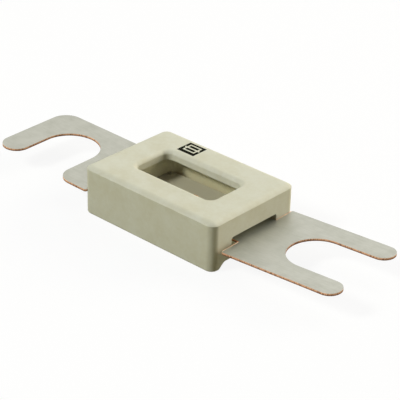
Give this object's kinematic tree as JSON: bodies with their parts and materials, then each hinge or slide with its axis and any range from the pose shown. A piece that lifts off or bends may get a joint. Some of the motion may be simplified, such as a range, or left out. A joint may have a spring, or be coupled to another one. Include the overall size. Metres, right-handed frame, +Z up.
{
  "type": "bolt down strip fuse",
  "caption": "Bolt down strip fuse: a flat stamped strip with slotted blades, set through a moulded block with a clear window.",
  "frame": {"origin": "middle of the housing's underside, on the surface that it rests on", "axes": "+Z up through the window, +X along the housing towards the blade whose slot opens at its end, +Y across, away from the mouth of the side slot"},
  "size_m": [0.0811, 0.0217, 0.0095],
  "materials": {
    "housing": "smooth moulded, satin",
    "pane": "clear sheet",
    "tinned_copper": "tin plated, fine scratches",
    "closing_plate": "smooth moulded, satin"
  },
  "bodies": {
    "root": {"housing": "housing", "window_pane": "pane", "fuse_strip": "tinned_copper", "closing_plate": "closing_plate"}
  },
  "joints": []
}
